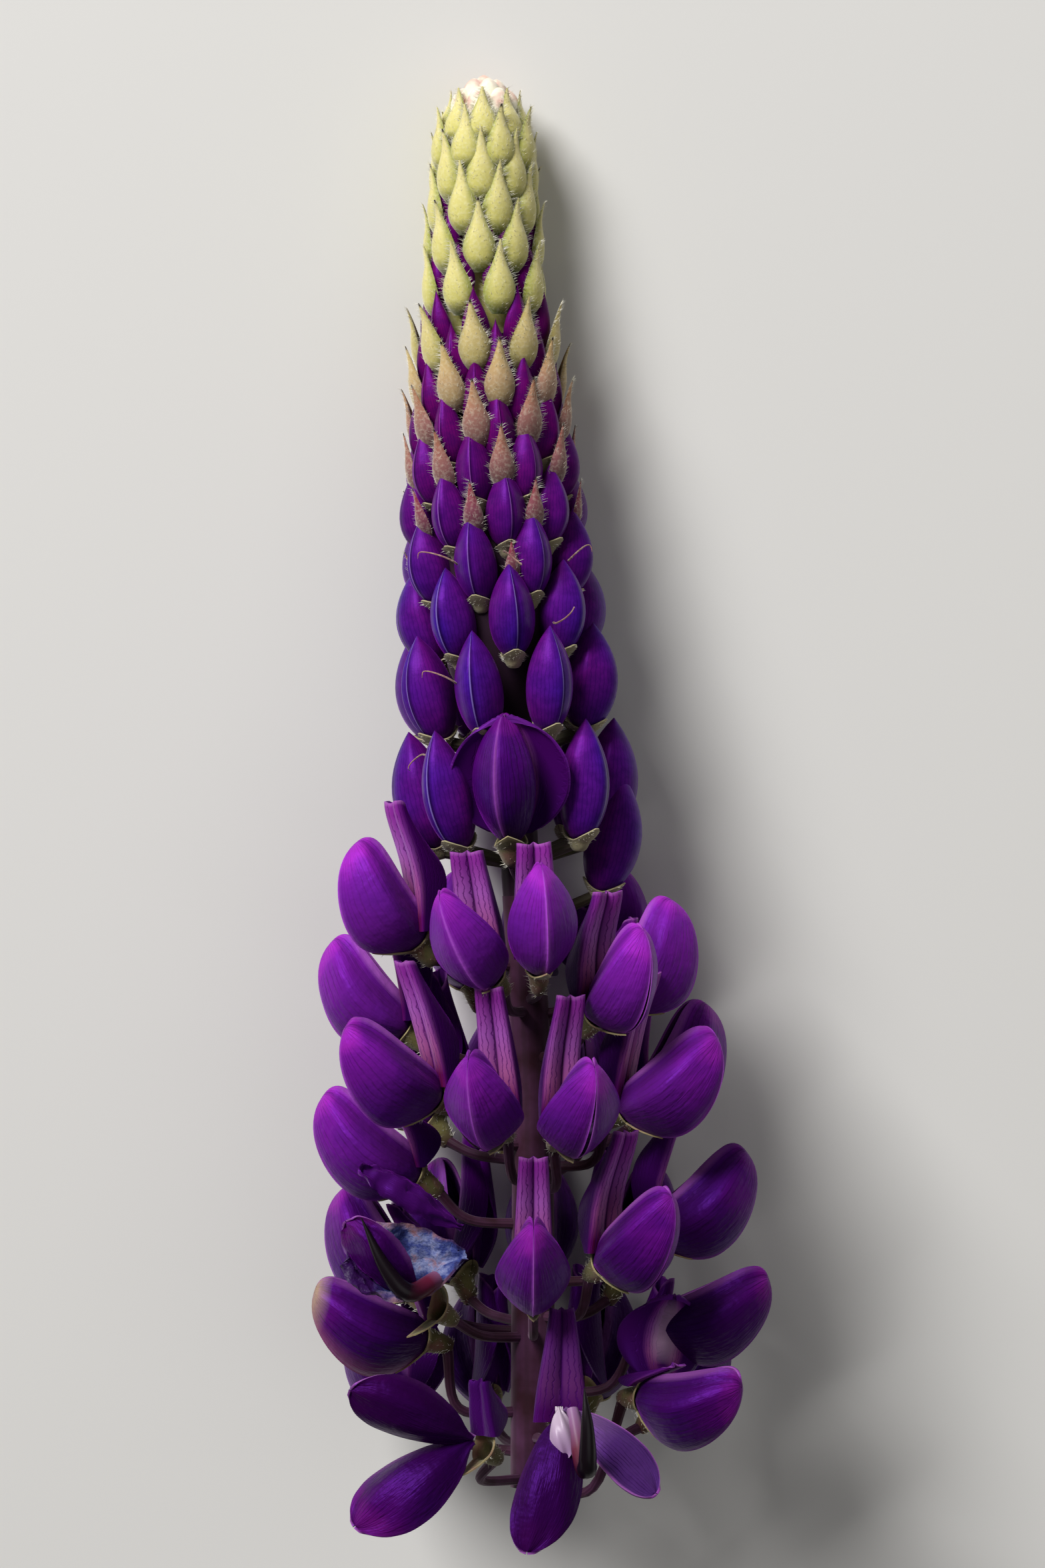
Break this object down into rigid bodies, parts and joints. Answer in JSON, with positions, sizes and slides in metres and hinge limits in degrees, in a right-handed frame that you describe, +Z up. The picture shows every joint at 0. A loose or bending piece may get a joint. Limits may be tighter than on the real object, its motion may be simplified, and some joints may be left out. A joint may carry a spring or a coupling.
{
  "type": "lupin flower spike",
  "caption": "Picked lupin spike lying on its back: open purple pea flowers on thin stalks round the stem, then closed buds, then pale green bracts at the tip.",
  "frame": {"origin": "centre of the bounding box at its bottom, on the surface that the spike lies on", "axes": "+Y along the spike from the cut end to the tip, +Z up from the surface, +X across the spike to the right as seen from above"},
  "size_m": [0.0578, 0.1704, 0.0501],
  "materials": {
    "petal": "matte velvety petal, deep violet with paler magenta edges",
    "bud": "closed violet buds with olive hairy calyces and pinkish bracts",
    "bract": "pale yellow-green downy bracts",
    "stem": "maroon-brown downy stem, stalks and olive calyces"
  },
  "bodies": {
    "root": {"bract_tip": "bract", "bud_head": "bud", "flower_1_1": "petal", "flower_1_2": "petal", "flower_1_3": "petal", "flower_1_4": "petal", "flower_1_5": "petal", "flower_1_6": "petal", "flower_1_7": "petal", "flower_1_8": "petal", "flower_1_9": "petal", "flower_2_1": "petal", "flower_2_2": "petal", "flower_2_3": "petal", "flower_2_4": "petal", "flower_2_5": "petal", "flower_2_6": "petal", "flower_2_7": "petal", "flower_2_8": "petal", "flower_3_1": "petal", "flower_3_2": "petal", "flower_3_3": "petal", "flower_3_4": "petal", "flower_3_5": "petal", "flower_3_6": "petal", "flower_3_7": "petal", "flower_3_8": "petal", "flower_3_9": "petal", "flower_4_1": "petal", "flower_4_2": "petal", "flower_4_3": "petal", "flower_4_4": "petal", "flower_4_5": "petal", "flower_4_6": "petal", "flower_4_7": "petal", "flower_4_8": "petal", "flower_4_9": "petal", "flower_half_open": "petal", "stem": "stem"}
  },
  "joints": []
}
